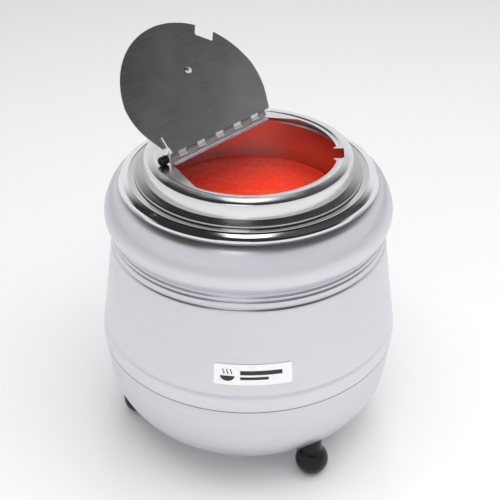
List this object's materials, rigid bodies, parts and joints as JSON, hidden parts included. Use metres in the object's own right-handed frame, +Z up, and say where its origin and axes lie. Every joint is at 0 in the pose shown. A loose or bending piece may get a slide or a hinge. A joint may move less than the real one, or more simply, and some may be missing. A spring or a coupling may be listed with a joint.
{
  "type": "soup kettle",
  "caption": "Round electric wet-heat soup kettle with a spun steel body on ball feet, a lift-out pot, a lift-off lid ring and a hinged half lid with a ladle notch.",
  "frame": {"origin": "on the surface it stands on, on the kettle's axis", "axes": "+Z up; -Y is the front with the badge; the control panel faces +Y; the lid's hinge lies on the side at 138 degrees from +X"},
  "size_m": [0.3552, 0.3552, 0.484],
  "materials": {
    "satin_steel": "satin spun",
    "polished_steel": "mirror polished stainless",
    "lid_steel": "fine brushed",
    "liner_steel": "bright drawn",
    "plain_steel": "zinc plated",
    "black_plastic": "moulded phenolic",
    "black_rubber": "smooth",
    "glass_wool": "mineral fibre",
    "element_sheath": "oxidised sheath",
    "aluminium": "satin",
    "brass": "plain",
    "lamp_lens": "clear amber red",
    "white_plastic": "moulded",
    "badge": "blank label",
    "red_insulation": "wire insulation",
    "blue_insulation": "wire insulation"
  },
  "bodies": {
    "base": {"body_shell": "satin_steel", "base_pan": "satin_steel", "top_trim_ring": "polished_steel", "badge_plate": "badge", "water_well": "liner_steel", "insulation_wrap": "glass_wool", "heating_element": "element_sheath", "element_clamp_plate": "plain_steel", "tie_rod": "plain_steel", "clamp_nut": "plain_steel", "base_nut": "plain_steel", "thermal_cutout": "black_plastic", "terminal_block": "white_plastic", "earth_stud": "brass", "thermostat_body": "aluminium", "dial_plate": "aluminium", "indicator_lamp": "lamp_lens", "cord_gland": "black_plastic", "gland_nut": "black_plastic", "foot_front": "black_rubber", "foot_front_stud": "plain_steel", "foot_front_nut": "plain_steel", "foot_left": "black_rubber", "foot_left_stud": "plain_steel", "foot_left_nut": "plain_steel", "foot_rear": "black_rubber", "foot_rear_stud": "plain_steel", "foot_rear_nut": "plain_steel", "wire_live": "red_insulation", "wire_element": "red_insulation", "wire_return": "blue_insulation"},
    "knob": {"thermostat_knob": "black_plastic", "thermostat_spindle": "plain_steel"},
    "pot": {"inner_pot": "liner_steel"},
    "lid": {"lid_ring": "polished_steel", "hinge_leaf": "polished_steel", "hinge_pin": "plain_steel"},
    "flap": {"lid_flap": "lid_steel", "flap_knob": "black_plastic", "knob_screw": "polished_steel", "stop_arm": "polished_steel", "stop_bumper": "black_rubber"}
  },
  "joints": [
    {"name": "thermostat_turn", "type": "hinge", "parent": "base", "child": "knob", "pos_m": [0, 0.16, 0.086], "axis": [0, -1, 0], "range_deg": [0, 270]},
    {"name": "pot_lift", "type": "slide", "parent": "base", "child": "pot", "axis": [0, 0, 1], "range_m": [0, 0.26]},
    {"name": "lid_lift", "type": "slide", "parent": "pot", "child": "lid", "axis": [0, 0, 1], "range_m": [0, 0.12]},
    {"name": "flap_hinge", "type": "hinge", "parent": "lid", "child": "flap", "pos_m": [-0.0327, 0.02944, 0.3778], "axis": [0.6691, 0.7431, 0], "range_deg": [0, 135]}
  ]
}
